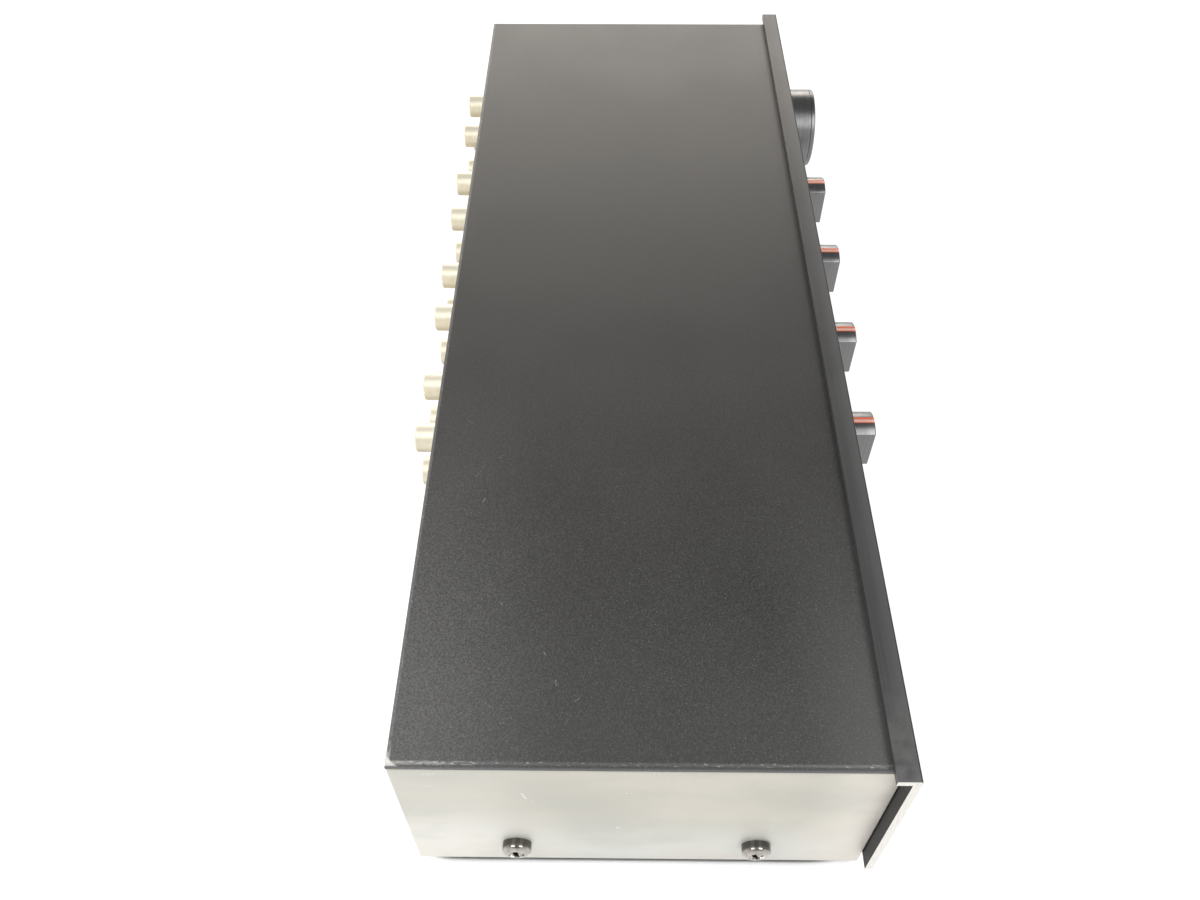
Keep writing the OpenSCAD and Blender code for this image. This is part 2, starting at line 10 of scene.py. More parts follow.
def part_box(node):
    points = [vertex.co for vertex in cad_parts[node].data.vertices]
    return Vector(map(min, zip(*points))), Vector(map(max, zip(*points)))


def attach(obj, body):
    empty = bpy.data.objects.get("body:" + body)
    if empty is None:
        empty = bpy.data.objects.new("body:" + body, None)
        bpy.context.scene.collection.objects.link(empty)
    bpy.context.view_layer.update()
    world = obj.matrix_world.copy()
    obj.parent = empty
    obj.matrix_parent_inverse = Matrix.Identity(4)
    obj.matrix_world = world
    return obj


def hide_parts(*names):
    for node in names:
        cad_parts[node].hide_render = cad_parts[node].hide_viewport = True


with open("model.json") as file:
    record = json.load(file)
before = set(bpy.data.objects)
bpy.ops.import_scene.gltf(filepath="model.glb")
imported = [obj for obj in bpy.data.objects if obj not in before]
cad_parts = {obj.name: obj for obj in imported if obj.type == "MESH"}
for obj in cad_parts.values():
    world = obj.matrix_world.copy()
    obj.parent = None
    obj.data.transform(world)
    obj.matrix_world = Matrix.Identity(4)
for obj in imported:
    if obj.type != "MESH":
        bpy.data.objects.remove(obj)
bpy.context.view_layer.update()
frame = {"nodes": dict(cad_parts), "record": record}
nodes = frame["nodes"]
MM = 0.001

# Directions of the part, whose front looks along -Y
RIGHT = Vector((1, 0, 0))
FORWARD = Vector((0, -1, 0))
DOWN = Vector((0, 0, -1))

# Boxes of the pieces that the looks are measured from
lid_low, lid_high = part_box("lid")
side_low, side_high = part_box("case_sleeve")
panel_low, panel_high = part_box("front_panel")
# Where each moving body's axis leaves the panel's face
axes = {joint["child"]: Vector(joint["pos_m"]) for joint in frame["record"]["behaviour"]["joints"]}

# Camera: the photograph's frame in pixels, then the place and aim that its straight edges give
FRAME_W = 1200
FOCAL_PX = 1042.7
SENSOR_W = 36.0
EYE_LEFT_OF_LID = 85.73 * MM
EYE_FROM_REAR = 45.72 * MM
EYE_ABOVE_LID = 204.79 * MM
PITCH = math.radians(50.344)
YAW = math.radians(-0.814)
ROLL = math.radians(-0.267)

# Meshes: vertices closer than this are one, and edges sharper than this stay crisp
WELD_REACH = 0.001 * MM
SHARP_EDGE = math.radians(35)

# Bar knobs: the rounded edge of the face, the eased edge at the back, and the enamel of the pointer,
# which runs over both edges of its groove and stands a little proud of it
KNOB_EDGE = 0.45 * MM
KNOB_BACK_EDGE = 0.3 * MM
LINE_SPREAD = 0.3 * MM
LINE_PROUD = 0.03 * MM
LINE_DEPTH = 0.3 * MM

# Round knob: its flat back's inner ring and eased edge, the groove, the rim, the dish in its face,
# and the short enamel mark between rim and dish
BACK_RING_R = 2 * MM
BACK_EDGE = 0.4 * MM
GROOVE_BACK = 1.5 * MM
GROOVE_HALF = 0.12 * MM
GROOVE_DEPTH = 0.1 * MM
RIM_EDGE = 0.5 * MM
DISH_RING = 4 * MM
DISH_LIP = 0.25 * MM
DISH_DEPTH = 0.45 * MM
DISH_SINK = 0.15 * MM
MARK_HALF_W = 0.4 * MM
MARK_HALF_L = 1.3 * MM
MARK_PROUD = 0.02 * MM
MARK_DEPTH = 0.2 * MM

# Side screws: depth of the cross recess, and each head's turn by its side and end of the case
RECESS_DEPTH = 1.1 * MM
HEAD_TURNS = {(-1, 1): 0.12, (-1, -1): 0.5, (1, 1): 0.9, (1, -1): 0.3}

# Outer radius of the sleeve's front folds, in its solid and as seen
FOLD_R = 1.4 * MM
CRISP_FOLD_R = 0.35 * MM

# Printed scales: half the ink's thickness, ticks from the knob outward, and numbers beyond them
INK = 0.012 * MM
TICK_GAP = 1.6 * MM
TICK_LONG = 1.6 * MM
TICK_SHORT = 1.0 * MM
TICK_W = 0.35 * MM
FIGURE_H = 2.4 * MM
FIGURE_OUT = 3.4 * MM
# Ticks on each kind of scale, and degrees from its middle to its end
SELECTOR_SCALE = (5, 60)
LEVEL_SCALE = (11, 150)
LEVEL_NUMBER_EVERY = 5

# Cloudy noise lies mostly between these levels
NOISE_LOW = 0.3
NOISE_HIGH = 0.7

# Stage and light
FLOOR_SIDE = 8.0
FLOOR_GREY = 0.8
FLOOR_GLOW = 0.9
FLOOR_SHADE = 0.3
# Painted contact shadow: the floor's glow darkens where less of the space above it is open than this,
# within the reach
CONTACT_REACH = 9 * MM
CONTACT_DARK = 0.46
CONTACT_CLEAR = 0.62
# The sky's light on things, then how it looks: white up to one height, dim from the next one up
SKY_FILL = 0.3
SKY_WHITE_TO = 0.3
SKY_DIM_FROM = 0.6
SKY_DIM = 0.25
WHITE = (1.0, 1.0, 1.0)
WARM = (1.0, 0.97, 0.92)
AMBER = (1.0, 0.92, 0.82)
LAMPS = {
    "rear_lamp": {"at": (-0.2, 0.25, 0.42), "size": (0.36, 0.22), "radiance": 4.2, "tint": WHITE},
    "front_lamp": {"at": (-0.2, -0.25, 0.42), "size": (0.36, 0.22), "radiance": 4.2, "tint": WHITE},
    "back_lamp": {"at": (0.35, 0.75, 0.65), "size": (0.9, 0.35), "radiance": 2.2, "tint": WARM},
    "far_lamp": {"at": (1.3, 0.22, 0.48), "size": (1.52, 0.52), "radiance": 3.75, "tint": AMBER},
}


class Nodes:
    """A node tree with short ways to add shader nodes to it."""

    def __init__(self, tree):
        self.tree = tree

    def node(self, kind, feeds=None, **settings):
        """A new node with its settings made and its inputs fed."""
        made = self.tree.nodes.new("ShaderNode" + kind)
        for key, value in settings.items():
            setattr(made, key, value)
        for key, value in (feeds or {}).items():
            self.feed(made.inputs[key], value)
        return made

    def feed(self, socket, value):
        """Link another node's output to a socket, or set the socket's own value."""
        if isinstance(value, bpy.types.NodeSocket):
            self.tree.links.new(value, socket)
        elif socket.type == "RGBA":
            socket.default_value = (*value, 1.0)
        else:
            socket.default_value = value

    def math(self, operation, a, b=0.0):
        """The result of one operation on two values."""
        return self.node("Math", {0: a, 1: b}, operation=operation).outputs[0]

    def times(self, *values):
        """The product of several values."""
        total = values[0]
        for value in values[1:]:
            total = self.math("MULTIPLY", total, value)
        return total

    def most(self, *values):
        """The greatest of several values."""
        total = values[0]
        for value in values[1:]:
            total = self.math("MAXIMUM", total, value)
        return total

    def band(self, value, low, high, out_low=0.0, out_high=1.0):
        """A smooth step of value from low to high."""
        feeds = {0: value, 1: low, 2: high, 3: out_low, 4: out_high}
        return self.node("MapRange", feeds, interpolation_type="SMOOTHSTEP").outputs[0]

    def seen(self):
        """1 for what the eye sees, also in reflections, and 0 for rays that only carry light."""
        rays = self.node("LightPath").outputs
        return self.most(rays["Is Camera Ray"], rays["Is Glossy Ray"], rays["Is Transmission Ray"])


class Finish(Nodes):
    """A Principled material with short ways to feed it. Places are in metres."""

    SOCKETS = {
        "metallic": "Metallic",
        "specular": "Specular IOR Level",
        "coat": "Coat Weight",
        "coat_roughness": "Coat Roughness",
    }

    def __init__(self, name, **constants):
        self.material = bpy.data.materials.new(name)
        self.material.use_nodes = True
        super().__init__(self.material.node_tree)
        self.shader = self.tree.nodes["Principled BSDF"]
        self.coordinates = self.node("TexCoord")
        self.place = self.coordinates.outputs["Object"]
        for key, value in constants.items():
            self.shader.inputs[self.SOCKETS[key]].default_value = value

    def vector(self, operation, a, b=(0.0, 0.0, 0.0)):
        """One operation on two vectors."""
        return self.node("VectorMath", {0: a, 1: b}, operation=operation)

    def axis(self, name):
        """One coordinate of the place."""
        return self.node("SeparateXYZ", {0: self.place}).outputs[name]

    def facing(self, name):
        """One coordinate of the surface's direction."""
        return self.node("SeparateXYZ", {0: self.coordinates.outputs["Normal"]}).outputs[name]

    def noise(self, size, stretch=(1, 1, 1), detail=2.0):
        """Cloudy noise with patches of about the given size, drawn out along the axes by stretch."""
        scale = [1 / (size * s) for s in stretch]
        mapping = self.node("Mapping", {"Vector": self.place, "Scale": scale})
        made = self.node("TexNoise", {"Vector": mapping.outputs[0], "Scale": 1.0, "Detail": detail})
        return made.outputs[0]

    def specks(self, size, spacing):
        """Small round dots, one to a cell."""
        made = self.node("TexVoronoi", {"Vector": self.place, "Scale": 1 / spacing})
        return self.band(made.outputs["Distance"], size / spacing, 0.0)

    def spread(self, noise, low=0.0, high=1.0):
        """Noise spread over a range."""
        return self.band(noise, NOISE_LOW, NOISE_HIGH, low, high)

    def mix(self, share, a, b):
        """A colour between a and b."""
        return self.node("Mix", {0: share, 6: a, 7: b}, data_type="RGBA").outputs[2]

    def scratch(self, start, end, width):
        """1 on a thin line between two places, 0 away from it."""
        along = end - start
        offset = self.vector("SUBTRACT", self.place, start).outputs[0]
        reach = self.vector("DOT_PRODUCT", offset, along / along.length_squared).outputs[1]
        share = self.band(reach, 0.0, 1.0)
        nearest = self.node("VectorMath", {0: along, 3: share}, operation="SCALE").outputs[0]
        away = self.vector("SUBTRACT", offset, nearest).outputs[0]
        return self.band(self.vector("LENGTH", away).outputs[1], width, 0.0)

    def scratches(self, lines, corner, along, across):
        """Several scratches, each by its two ends and its width, in millimetres from a corner."""
        drawn = []
        for start, end, width in lines:
            ends = [corner + (a * along + b * across) * MM for a, b in (start, end)]
            drawn.append(self.scratch(*ends, width * MM))
        return self.most(*drawn)

    def bump(self, height, depth, under=None):
        """A bumped normal, on top of another one if given."""
        made = self.node("Bump", {"Height": height, "Distance": depth})
        if under is not None:
            self.feed(made.inputs["Normal"], under)
        return made.outputs[0]

    def done(self, colour, roughness, normal, metallic=None):
        """The material, once its colour, roughness and normal are fed."""
        self.feed(self.shader.inputs["Base Color"], colour)
        self.feed(self.shader.inputs["Roughness"], roughness)
        self.feed(self.shader.inputs["Normal"], normal)
        if metallic is not None:
            self.feed(self.shader.inputs["Metallic"], metallic)
        return self.material


def black_paint():
    """Fine-textured satin black on the lid, with painted sheen toward its left end, worn along its
    bends, with dust and a few scratches.
    """
    f = Finish("black_paint", specular=0.75)
    grain = f.noise(0.5 * MM, detail=3.0)
    fine = f.noise(0.24 * MM)
    cloud = f.noise(35 * MM, detail=4.0)
    from_left = f.math("SUBTRACT", f.axis("X"), lid_low.x)
    from_rear = f.math("SUBTRACT", lid_high.y, f.axis("Y"))
    from_front = f.math("SUBTRACT", f.axis("Y"), lid_low.y)
    # Painted sheen: the texture is painted paler toward the left end, most at its corners, and shows
    # less away from it
    corner_sheen = f.times(f.band(from_rear, 42 * MM, 0.0), f.band(from_left, 120 * MM, 0.0))
    front_corner_sheen = f.times(f.band(from_front, 30 * MM, 0.0), f.band(from_left, 85 * MM, 0.0))
    shows = f.band(from_left, 150 * MM, 15 * MM, 0.25, 1.0)
    pits = f.mix(corner_sheen, (0.015, 0.015, 0.015), (0.055, 0.055, 0.055))
    peaks = f.mix(corner_sheen, (0.038, 0.038, 0.037), (0.112, 0.112, 0.111))
    level = f.times(f.math("SUBTRACT", f.band(grain, 0.36, 0.64), 0.5), shows)
    colour = f.mix(f.math("ADD", level, 0.45), pits, peaks)
    # Painted sheen: the left end and its front corner are painted paler still
    end_sheen = f.times(f.band(from_left, 55 * MM, 0.0), 0.22)
    colour = f.mix(f.most(f.times(front_corner_sheen, 0.7), end_sheen), colour, (0.088, 0.088, 0.087))
    pale = f.band(fine, f.math("SUBTRACT", 0.62, f.times(corner_sheen, 0.06)), 0.78)
    colour = f.mix(f.times(pale, shows, 0.9), colour, (0.26, 0.26, 0.255))
    dust = f.times(f.specks(0.24 * MM, 8 * MM), f.band(f.noise(12 * MM), 0.5, 0.62), 0.5)
    colour = f.mix(dust, colour, (0.2, 0.2, 0.19))
    # Scratches, measured from the lid's left end and forward from its rear edge
    lines = (
        ((93.6, 8.8), (92.9, 10.2), 0.2),
        ((81.2, 18.0), (82.0, 18.6), 0.2),
        ((75.3, 12.5), (76.8, 13.4), 0.2),
        ((67.1, 14.7), (68.3, 15.2), 0.3),
        ((63.0, 10.5), (63.9, 12.2), 0.16),
        ((38.6, 21.2), (38.2, 21.5), 0.3),
        ((26.2, 31.6), (25.5, 32.0), 0.25),
        ((19.3, 34.4), (18.3, 34.6), 0.25),
        ((14.6, 38.8), (15.2, 39.6), 0.25),
    )
    corner = Vector((lid_low.x, lid_high.y, lid_high.z))
    scratched = f.scratches(lines, corner, RIGHT, FORWARD)
    scratched = f.times(scratched, f.band(fine, 0.4, 0.6), 0.7)
    colour = f.mix(scratched, colour, (0.4, 0.4, 0.39))
    # Wear along the left and rear bends, most where they meet
    on_top = f.band(f.axis("Z"), lid_high.z - 0.75 * MM, lid_high.z - 0.25 * MM)
    outer, inner = 0.8 * MM, 1.3 * MM
    left_bend = f.times(f.band(from_left, inner, outer), f.band(from_left, 0.2 * MM, 0.5 * MM), on_top)
    rear_bend = f.times(f.band(from_rear, inner, outer), on_top)
    left_chips = f.noise(0.42 * MM, stretch=(1, 3, 1), detail=4.0)
    rear_chips = f.noise(0.42 * MM, stretch=(3, 1, 1), detail=4.0)
    # Noise above these levels is worn: both ends of the left bend, and the rear bend near the corner
    near_rear = f.band(from_rear, 2 * MM, 26 * MM, 0.2, 0.58)
    near_front = f.band(from_front, 0.0, 14 * MM, 0.48, 0.6)
    kept_left = f.math("MINIMUM", near_rear, near_front)
    kept_rear = f.band(from_left, 1.5 * MM, 7 * MM, 0.25, 0.62)
    left_worn = f.times(left_bend, f.band(left_chips, kept_left, 0.74))
    rear_worn = f.times(rear_bend, f.band(rear_chips, kept_rear, 0.78))
    colour = f.mix(f.times(left_bend, 0.1), colour, (0.4, 0.4, 0.39))
    colour = f.mix(f.times(f.most(left_worn, rear_worn), 0.68), colour, (0.5, 0.49, 0.47))
    # Their corner is worn round, down to bare metal
    corner_r = 4.2 * MM
    past_left = f.most(f.math("SUBTRACT", corner_r, from_left), 0.0)
    past_rear = f.most(f.math("SUBTRACT", corner_r, from_rear), 0.0)
    past = f.math("SQRT", f.math("ADD", f.times(past_left, past_left), f.times(past_rear, past_rear)))
    bare = f.times(f.band(past, 0.98 * corner_r, 1.1 * corner_r), on_top)
    colour = f.mix(bare, colour, (0.72, 0.71, 0.68))
    roughness = f.spread(cloud, 0.425, 0.37)
    normal = f.bump(f.times(grain, shows), 0.022 * MM, f.bump(f.times(fine, shows), 0.008 * MM))
    return f.done(colour, roughness, normal)


def satin_metal():
    """Bare satin sheet of the sides, with painted light low down and at its ends, a faint grain,
    smudges and a few scratches.
    """
    f = Finish("satin_metal", metallic=0.35)
    grain = f.noise(0.12 * MM, stretch=(1, 160, 1), detail=3.0)
    smudge = f.noise(19 * MM, stretch=(1, 1.6, 1), detail=4.0)
    height = f.math("SUBTRACT", f.axis("Z"), side_low.z)
    # Painted light: paler toward the bottom, where the floor lights the side, and darker toward the top
    colour = f.mix(f.band(height, 34 * MM, 4 * MM), (0.72, 0.7, 0.615), (0.865, 0.865, 0.815))
    # Painted light: paler at the rear end low down, and at the front end against the shade beside the
    # panel
    rear_end = f.band(f.axis("Y"), side_high.y - 40 * MM, side_high.y - 10 * MM)
    painted_light_front_end = f.band(f.axis("Y"), side_low.y + 20 * MM, side_low.y + 2 * MM)
    painted_light_rear_low = f.times(rear_end, f.band(height, 40 * MM, 6 * MM, 0.3, 1.0))
    colour = f.mix(painted_light_rear_low, colour, (1.0, 0.985, 0.915))
    colour = f.mix(painted_light_front_end, colour, (1.0, 0.95, 0.86))
    colour = f.mix(f.times(f.band(smudge, 0.47, 0.68), 0.35), colour, (0.64, 0.65, 0.6))
    colour = f.mix(f.times(f.band(smudge, 0.5, 0.32), 0.45), colour, (0.86, 0.8, 0.72))
    colour = f.mix(f.times(f.band(grain, 0.62, 0.78), 0.4), colour, (0.64, 0.63, 0.575))
    # Scratches, measured forward from the lid's rear edge and down from its top
    lines = (
        ((7.2, 5.0), (9.6, 4.8), 0.36),
        ((6.9, 11.3), (8.2, 11.3), 0.24),
        ((27.3, 15.1), (28.0, 17.7), 0.5),
        ((27.8, 17.7), (31.2, 20.9), 0.26),
        ((47.9, 34.6), (48.4, 35.1), 0.45),
        ((48.7, 14.4), (50.9, 14.3), 0.24),
        ((54.4, 4.0), (56.4, 3.5), 0.24),
        ((56.0, 8.2), (60.6, 7.0), 0.22),
        ((66.7, 12.4), (68.8, 15.9), 0.16),
    )
    corner = Vector((side_low.x, lid_high.y, lid_high.z))
    scratched = f.scratches(lines, corner, FORWARD, DOWN)
    scratched = f.times(scratched, f.band(f.noise(0.45 * MM), 0.25, 0.4))
    colour = f.mix(scratched, colour, (1.0, 0.99, 0.97))
    roughness = f.spread(smudge, 0.48, 0.56)
    return f.done(colour, roughness, f.bump(grain, 0.01 * MM))


def black_anodised():
    """Black anodised panel with a fine lengthwise grain, bare metal at its sawn ends."""
    f = Finish("black_anodised", specular=0.58)
    grain = f.noise(0.13 * MM, stretch=(220, 1, 1), detail=3.0)
    cloud = f.noise(26 * MM, detail=3.0)
    colour = f.mix(f.spread(grain), (0.038, 0.038, 0.039), (0.06, 0.06, 0.061))
    # Painted sheen: the flange's top is painted paler toward its front
    forward = f.band(f.axis("Y"), panel_high.y - 1 * MM, panel_low.y + 0.4 * MM)
    on_flange = f.band(f.axis("Z"), panel_high.z - 1 * MM, panel_high.z)
    colour = f.mix(f.times(forward, on_flange), colour, (0.075, 0.075, 0.075))
    near_end = f.band(f.axis("X"), panel_low.x + 28 * MM, panel_low.x)
    dusty = f.times(near_end, on_flange, f.band(f.noise(3.5 * MM, detail=4.0), 0.3, 0.62))
    colour = f.mix(f.times(dusty, 0.5), colour, (0.15, 0.15, 0.148))
    # Painted shade: the back of the web is painted darker; the flange's front bevel is darker too, and
    # both are duller than the rest
    under_flange = f.band(f.axis("Z"), panel_high.z - 2 * MM, panel_high.z - 3 * MM)
    back = f.times(f.band(f.facing("Y"), 0.8, 0.95), under_flange)
    bevel = f.times(f.band(f.axis("Y"), panel_low.y + 0.5 * MM, panel_low.y + 0.3 * MM), on_flange)
    dull_and_shaded = f.most(back, bevel)
    colour = f.mix(dull_and_shaded, colour, (0.012, 0.012, 0.014))
    bare = f.band(f.math("ABSOLUTE", f.facing("X")), 0.8, 0.95)
    sawn = f.noise(0.1 * MM, stretch=(1, 1, 40), detail=2.0)
    metal = f.mix(f.band(sawn, 0.35, 0.65), (0.7, 0.68, 0.63), (0.86, 0.84, 0.79))
    roughness = f.math("ADD", f.spread(cloud, 0.4, 0.33), f.times(dull_and_shaded, 0.27))
    return f.done(f.mix(bare, colour, metal), roughness, f.bump(grain, 0.006 * MM), metallic=bare)


def knob_black():
    """Satin black anodised aluminium, turned about the knob's own axis, with finely lined flats."""
    f = Finish("knob_black", metallic=1.0)
    turned = f.noise(0.14 * MM, stretch=(260, 260, 1), detail=3.0)
    lined = f.noise(0.14 * MM, stretch=(1, 260, 1), detail=3.0)
    cloud = f.noise(5 * MM, detail=3.0)
    colour = f.mix(f.spread(turned), (0.17, 0.17, 0.172), (0.22, 0.22, 0.221))
    colour = f.mix(f.times(f.band(lined, 0.6, 0.75), 0.4), colour, (0.13, 0.13, 0.13))
    roughness = f.spread(cloud, 0.36, 0.28)
    return f.done(colour, roughness, f.bump(turned, 0.005 * MM, f.bump(lined, 0.003 * MM)))


def pointer_red():
    """Orange-red enamel in the knobs' lines."""
    f = Finish("pointer_red", coat=0.4, coat_roughness=0.2)
    cloud = f.noise(0.7 * MM, detail=3.0)
    colour = f.mix(f.spread(cloud), (0.86, 0.14, 0.055), (0.93, 0.19, 0.09))
    # Painted highlight: the middle of the line is painted paler on the crest
    low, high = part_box("selector_1_knob")
    crest = f.band(f.axis("Y"), (high.z - low.z) / 2 - 1.4 * MM, (high.z - low.z) / 2 - 0.6 * MM)
    middle = f.band(f.math("ABSOLUTE", f.math("ADD", f.axis("X"), 0.3 * MM)), 0.62 * MM, 0.3 * MM)
    colour = f.mix(f.times(crest, middle), colour, (1.0, 0.6, 0.48))
    return f.done(colour, f.spread(cloud, 0.38, 0.48), f.bump(cloud, 0.02 * MM))


def white_print():
    """White ink of the scales, slightly uneven."""
    f = Finish("white_print")
    cloud = f.noise(0.25 * MM, detail=3.0)
    colour = f.mix(f.spread(cloud), (0.66, 0.66, 0.64), (0.78, 0.78, 0.76))
    return f.done(colour, f.spread(cloud, 0.5, 0.6), f.bump(cloud, 0.004 * MM))


def plated(name, low, high, rough_low, rough_high):
    """Plated metal with soft clouding and fine handling marks."""
    f = Finish(name, metallic=1.0)
    cloud = f.noise(4.5 * MM, detail=4.0)
    fine = f.noise(0.2 * MM, stretch=(1, 1, 3))
    colour = f.mix(f.spread(cloud), low, high)
    colour = f.mix(f.times(f.band(fine, 0.66, 0.8), 0.5), colour, [0.85 * c for c in low])
    return f.done(colour, f.spread(fine, rough_low, rough_high), f.bump(fine, 0.001 * MM))


def jack_gold():
    """Thin pale gold plating of the jack barrels, clouded, with painted light: paler on top, darker
    underneath as painted shade with tarnish.
    """
    f = Finish("jack_gold", metallic=0.45)
    cloud = f.noise(2.5 * MM, detail=4.0)
    fine = f.noise(0.2 * MM, stretch=(1, 3, 1))
    colour = f.mix(f.spread(cloud), (0.86, 0.79, 0.6), (0.93, 0.87, 0.7))
    up = f.facing("Z")
    # Painted light: paler on the faces that look up
    colour = f.mix(f.band(up, 0.45, 0.9), colour, (0.97, 0.91, 0.74))
    # Painted shade with tarnish: darker and clouded on the underside
    tarnish_and_shade = f.times(f.band(up, 0.25, -0.35), f.band(cloud, 0.25, 0.6, 0.6, 1.0))
    colour = f.mix(tarnish_and_shade, colour, (0.62, 0.54, 0.38))
    colour = f.mix(f.times(f.band(fine, 0.66, 0.8), 0.4), colour, (0.7, 0.62, 0.45))
    return f.done(colour, f.spread(fine, 0.4, 0.46), f.bump(fine, 0.001 * MM))


def moulded(name, low, high, roughness):
    """Moulded plastic, laminate or rubber with a slight mottle and a fine surface grain."""
    f = Finish(name)
    mottle = f.noise(2.2 * MM, stretch=(3, 1, 1), detail=4.0)
    grain = f.noise(0.26 * MM)
    colour = f.mix(f.spread(mottle), low, high)
    uneven = f.spread(grain, roughness - 0.06, roughness + 0.06)
    return f.done(colour, uneven, f.bump(grain, 0.02 * MM))


def dark_nickel():
    """Dark plated screw heads, with painted shade on the skirt where they meet the side and inside the
    cross recess.
    """
    f = Finish("dark_nickel", metallic=1.0)
    cloud = f.noise(1.2 * MM, detail=3.0)
    stands = f.math("SUBTRACT", f.math("ABSOLUTE", f.axis("X")), side_high.x)
    colour = f.mix(f.spread(cloud), (0.36, 0.34, 0.31), (0.48, 0.46, 0.42))
    # Painted shade: the skirt next to the side is painted dark
    dull_and_shaded = f.band(stands, 2.2 * MM, 1.2 * MM)
    colour = f.mix(f.times(dull_and_shaded, 0.85), colour, (0.07, 0.068, 0.064))
    # Painted shade: the recess is painted black inside; fold the four screws onto one to measure from
    # its axis
    low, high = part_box("side_screws")
    radius, top = (high.z - low.z) / 2, high.x - side_high.x
    from_middle = f.math("ABSOLUTE", f.math("SUBTRACT", f.axis("Y"), (low.y + high.y) / 2))
    across = f.math("SUBTRACT", from_middle, (high.y - low.y) / 2 - radius)
    up = f.math("SUBTRACT", f.axis("Z"), (low.z + high.z) / 2)
    away = f.math("SQRT", f.math("ADD", f.times(across, across), f.times(up, up)))
    within = f.band(away, 0.62 * radius, 0.55 * radius)
    sunk = f.band(stands, top - 0.5 * MM, top - 0.8 * MM)
    colour = f.mix(f.times(within, sunk), colour, (0.02, 0.02, 0.02))
    return f.done(colour, f.spread(cloud, 0.14, 0.22), f.bump(cloud, 0.006 * MM))


finishes = {
    "black_paint": black_paint(),
    "satin_metal": satin_metal(),
    "black_anodised": black_anodised(),
    "knob_black": knob_black(),
    "pointer_red": pointer_red(),
    "white_print": white_print(),
    "zinc_steel": plated("zinc_steel", (0.63, 0.64, 0.65), (0.69, 0.69, 0.68), 0.34, 0.44),
    "nickel": plated("nickel", (0.62, 0.6, 0.56), (0.74, 0.72, 0.67), 0.18, 0.3),
    "dark_nickel": dark_nickel(),
    "jack_gold": jack_gold(),
    "rubber": moulded("rubber", (0.018, 0.018, 0.018), (0.03, 0.03, 0.03), 0.75),
    "laminate": moulded("laminate", (0.16, 0.075, 0.03), (0.24, 0.12, 0.05), 0.5),
    "ivory_plastic": moulded("ivory_plastic", (0.68, 0.62, 0.48), (0.74, 0.69, 0.56), 0.42),
    "jack_insulator": moulded("jack_insulator", (0.72, 0.7, 0.64), (0.78, 0.76, 0.7), 0.4),
}
for node in nodes.values():
    for material_slot in node.material_slots:
        material_slot.material = finishes[material_slot.material.name]


def mesh_piece(name, vertices, faces, material, place=Matrix()):
    """A smooth mesh object with sharp corners, one material and its own frame."""
    mesh = bpy.data.meshes.new(name)
    mesh.from_pydata([tuple(v) for v in vertices], [], faces)
    mesh.polygons.foreach_set("use_smooth", [True] * len(mesh.polygons))
    mesh.set_sharp_from_angle(angle=SHARP_EDGE)
    mesh.materials.append(material)
    piece = bpy.data.objects.new(name, mesh)
    piece.matrix_world = place
    bpy.context.scene.collection.objects.link(piece)
    return piece


def welded(mesh):
    """Vertices and faces of a mesh with its doubled vertices made one."""
    work = bmesh.new()
    work.from_mesh(mesh)
    bmesh.ops.remove_doubles(work, verts=work.verts, dist=WELD_REACH)
    work.verts.index_update()
    vertices = [vertex.co.copy() for vertex in work.verts]
    faces = [tuple(vertex.index for vertex in face.verts) for face in work.faces]
    work.free()
    return vertices, faces


def joined(meshes):
    """Vertices and faces of several meshes as one mesh."""
    vertices, faces = [], []
    for more_vertices, more_faces in meshes:
        start = len(vertices)
        vertices += more_vertices
        faces += [tuple(start + i for i in face) for face in more_faces]
    return vertices, faces


def control_frame(body):
    """The frame of a control: origin on the panel's face, Y up and Z straight out of the panel."""
    turn = Matrix(((1, 0, 0), (0, 0, -1), (0, 1, 0)))
    return Matrix.Translation(axes[body]) @ turn.to_4x4()


def loft(rings):
    """Faces between closed rings of equal count, with both ends filled."""
    count = len(rings[0])
    vertices = [v for ring in rings for v in ring]
    faces = []
    for r in range(len(rings) - 1):
        for i in range(count):
            j = (i + 1) % count
            faces.append((r * count + i, r * count + j, (r + 1) * count + j, (r + 1) * count + i))
    faces.append(tuple(reversed(range(count))))
    faces.append(tuple(range((len(rings) - 1) * count, len(rings) * count)))
    return vertices, faces


def rounded_edge(reach, edge, steps=5):
    """Inset and height of the rings round a face's rounded edge."""
    turns = [math.pi / 2 * k / steps for k in range(steps + 1)]
    return [(edge * (1 - math.cos(t)), reach - edge + edge * math.sin(t)) for t in turns]


def bar_outline(radius, half, inset, corner=0.22 * MM, arc_steps=14, corner_steps=3, flat_steps=4):
    """Outline of a bar knob, drawn in by inset: a circle cut by two flats, its corners eased."""
    r, h = radius - inset, half - inset
    c = max(corner - inset, 0.03 * MM)
    rise = math.sqrt((r - c) ** 2 - (h - c) ** 2)
    tilt = math.atan2(rise, h - c)
    quarter = []
    for k in range(arc_steps + 1):
        a = math.pi / 2 + (tilt - math.pi / 2) * k / arc_steps
        quarter.append((r * math.cos(a), r * math.sin(a)))
    for k in range(1, corner_steps + 1):
        a = tilt * (1 - k / corner_steps)
        quarter.append((h - c + c * math.cos(a), rise + c * math.sin(a)))
    for k in range(1, flat_steps + 1):
        quarter.append((h, rise * (1 - k / flat_steps)))
    half_way = quarter + [(x, -y) for x, y in reversed(quarter[:-1])]
    return list(reversed(half_way + [(-x, y) for x, y in reversed(half_way[1:-1])]))


